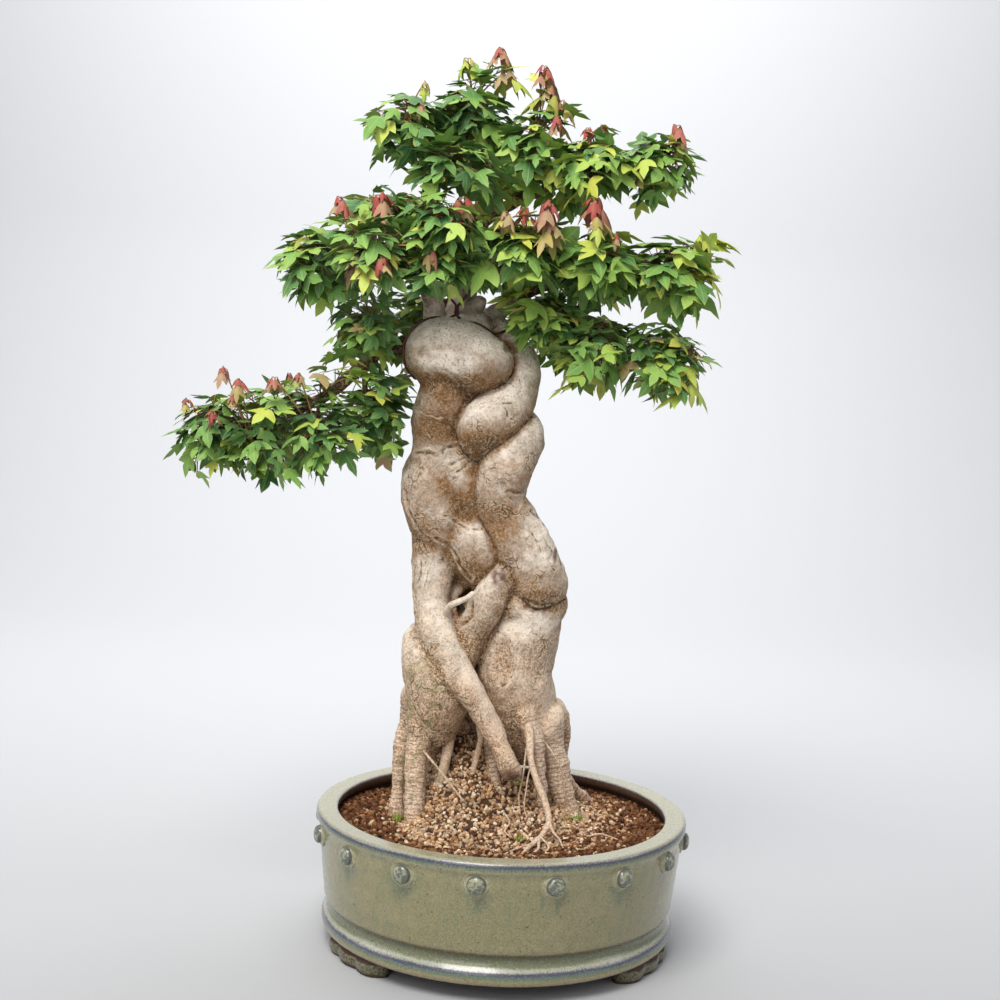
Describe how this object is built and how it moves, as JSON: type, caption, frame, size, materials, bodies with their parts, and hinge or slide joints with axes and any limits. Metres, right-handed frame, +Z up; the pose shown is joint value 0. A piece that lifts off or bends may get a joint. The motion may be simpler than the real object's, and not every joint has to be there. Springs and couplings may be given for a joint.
{
  "type": "trident maple bonsai in a drum pot",
  "caption": "Trident maple bonsai with a twisted, fused trunk, exposed roots and layered leafy pads, planted in a round glazed drum pot with studs and low feet.",
  "frame": {"origin": "middle of the whole tree's footprint, on the table that the pot's feet stand on", "axes": "+Z up along the trunk, -Y towards the tree's front, +X to the front's right; the pot's own axis stands 78 mm to the right of the origin and 12.5 mm in front of it"},
  "size_m": [0.5402, 0.3959, 0.8788],
  "materials": {
    "celadon_glaze": "glossy olive-green celadon glaze on stoneware",
    "screen_plastic": "black plastic mesh",
    "fired_clay_granules": "loose baked-clay granules, damp reddish brown",
    "mixed_grit": "loose pale grit",
    "bark": "smooth living bark, dull",
    "coated_wire": "dark brown anodised training wire",
    "leaf_green": "thin living leaf, slightly waxy",
    "young_leaf": "thin young leaf, slightly waxy"
  },
  "bodies": {
    "root": {"pot": "celadon_glaze", "drain_screen_left": "screen_plastic", "drain_screen_right": "screen_plastic", "soil": "fired_clay_granules", "gravel_dressing": "mixed_grit", "trunk": "bark", "guy_wire": "coated_wire", "spray_low_left_tip": "young_leaf", "spray_low_left_outer": "leaf_green", "spray_low_left_back": "leaf_green", "spray_low_left_mid": "leaf_green", "spray_low_left_inner": "leaf_green", "spray_shoulder_left": "leaf_green", "spray_mid_left_outer": "young_leaf", "spray_mid_left_front": "leaf_green", "spray_mid_left_upper": "leaf_green", "spray_mid_left_back": "leaf_green", "spray_centre_front": "leaf_green", "spray_centre_low": "leaf_green", "spray_top_left": "young_leaf", "spray_top_mid": "young_leaf", "spray_top_front": "leaf_green", "spray_top_back": "leaf_green", "spray_upper_right_inner": "young_leaf", "spray_upper_right_mid": "leaf_green", "spray_upper_right_tip": "young_leaf", "spray_upper_right_back": "leaf_green", "spray_mid_right_inner": "leaf_green", "spray_mid_right_mid": "leaf_green", "spray_mid_right_outer": "young_leaf", "spray_mid_right_back": "leaf_green", "spray_low_right_inner": "leaf_green", "spray_low_right_mid": "leaf_green", "spray_low_right_outer": "young_leaf", "spray_low_right_back": "leaf_green", "spray_back_mid": "leaf_green", "spray_back_low": "leaf_green"}
  },
  "joints": []
}
